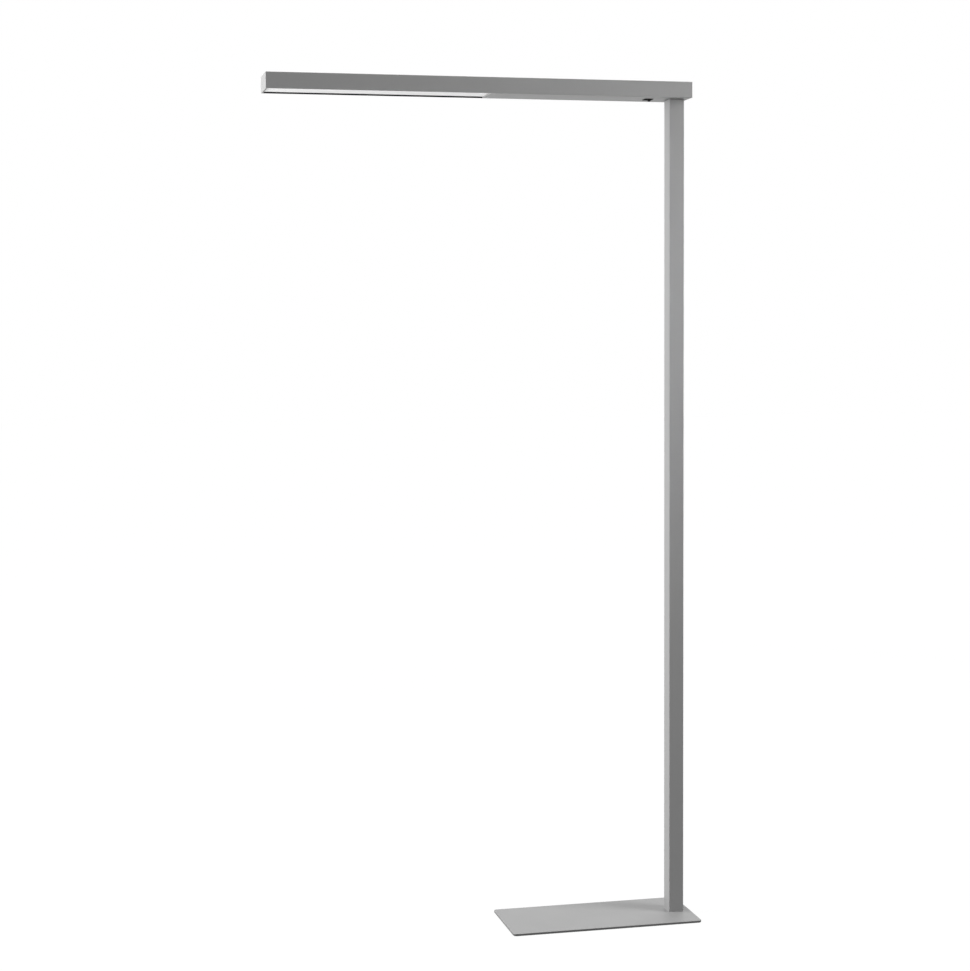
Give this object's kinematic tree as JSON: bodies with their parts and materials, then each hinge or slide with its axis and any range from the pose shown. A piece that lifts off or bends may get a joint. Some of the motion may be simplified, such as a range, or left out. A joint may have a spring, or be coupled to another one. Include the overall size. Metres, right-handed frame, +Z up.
{
  "type": "office floor lamp",
  "caption": "Free-standing office floor lamp: slim rectangular pole on a flat plate, long flat horizontal head with opal panels and a push button underneath.",
  "frame": {"origin": "on the floor, at the centre of the underside of the mat below the base plate", "axes": "+X runs from the free end of the head towards the pole, +Y towards the rear of the lamp (cord inlet), +Z up"},
  "size_m": [0.9875, 0.205, 1.95],
  "materials": {
    "painted_steel": "fine satin silver-grey powder coat",
    "painted_aluminium": "fine satin silver-grey powder coat",
    "opal_acrylic": "satin opal white",
    "black_plastic": "satin moulded black",
    "black_rubber": "matt black rubber",
    "zinc_steel": "zinc-plated steel",
    "bare_aluminium": "milled aluminium",
    "white_plastic": "moulded white",
    "white_board": "white solder resist on an aluminium core",
    "led_resin": "yellow phosphor resin",
    "nickel_brass": "nickel-plated brass",
    "grey_sheath": "grey insulated lead"
  },
  "bodies": {
    "lamp": {"base_plate": "painted_steel", "base_screws": "zinc_steel", "bottom_cover": "painted_aluminium", "button_bezel": "black_plastic", "button_spring": "zinc_steel", "cord_grommet": "black_rubber", "cover_screws": "zinc_steel", "cover_standoffs": "zinc_steel", "diffuser_seal_front": "black_plastic", "diffuser_seal_rear": "black_plastic", "direct_diffuser": "opal_acrylic", "direct_lead": "grey_sheath", "direct_led_board": "white_board", "direct_leds": "led_resin", "divider": "white_plastic", "driver_screws": "zinc_steel", "end_cap_free": "painted_aluminium", "end_cap_pole": "painted_aluminium", "end_cap_screws": "zinc_steel", "floor_mat": "black_rubber", "head_bracket": "bare_aluminium", "head_gasket": "black_rubber", "head_housing": "painted_aluminium", "head_screws": "zinc_steel", "indirect_diffuser": "opal_acrylic", "indirect_lead": "grey_sheath", "indirect_led_board": "white_board", "indirect_leds": "led_resin", "led_driver": "white_plastic", "mains_terminal": "white_plastic", "mains_wires": "grey_sheath", "pole": "painted_aluminium", "pole_cable": "grey_sheath", "pole_foot_insert": "zinc_steel", "pole_screws": "zinc_steel", "pole_top_insert": "bare_aluminium", "switch_body": "black_plastic", "switch_nut": "nickel_brass", "switch_wires": "grey_sheath", "terminal_screw": "zinc_steel", "top_cover": "painted_aluminium", "web_grommet": "black_rubber"},
    "button": {"button_plunger": "black_plastic"}
  },
  "joints": [
    {"name": "button_press", "type": "slide", "parent": "lamp", "child": "button", "axis": [0, 0, 1], "range_m": [0, 0.002], "stiffness_N_per_m": 400, "springref_m": -0.003, "deforming": ["button_spring"]}
  ]
}
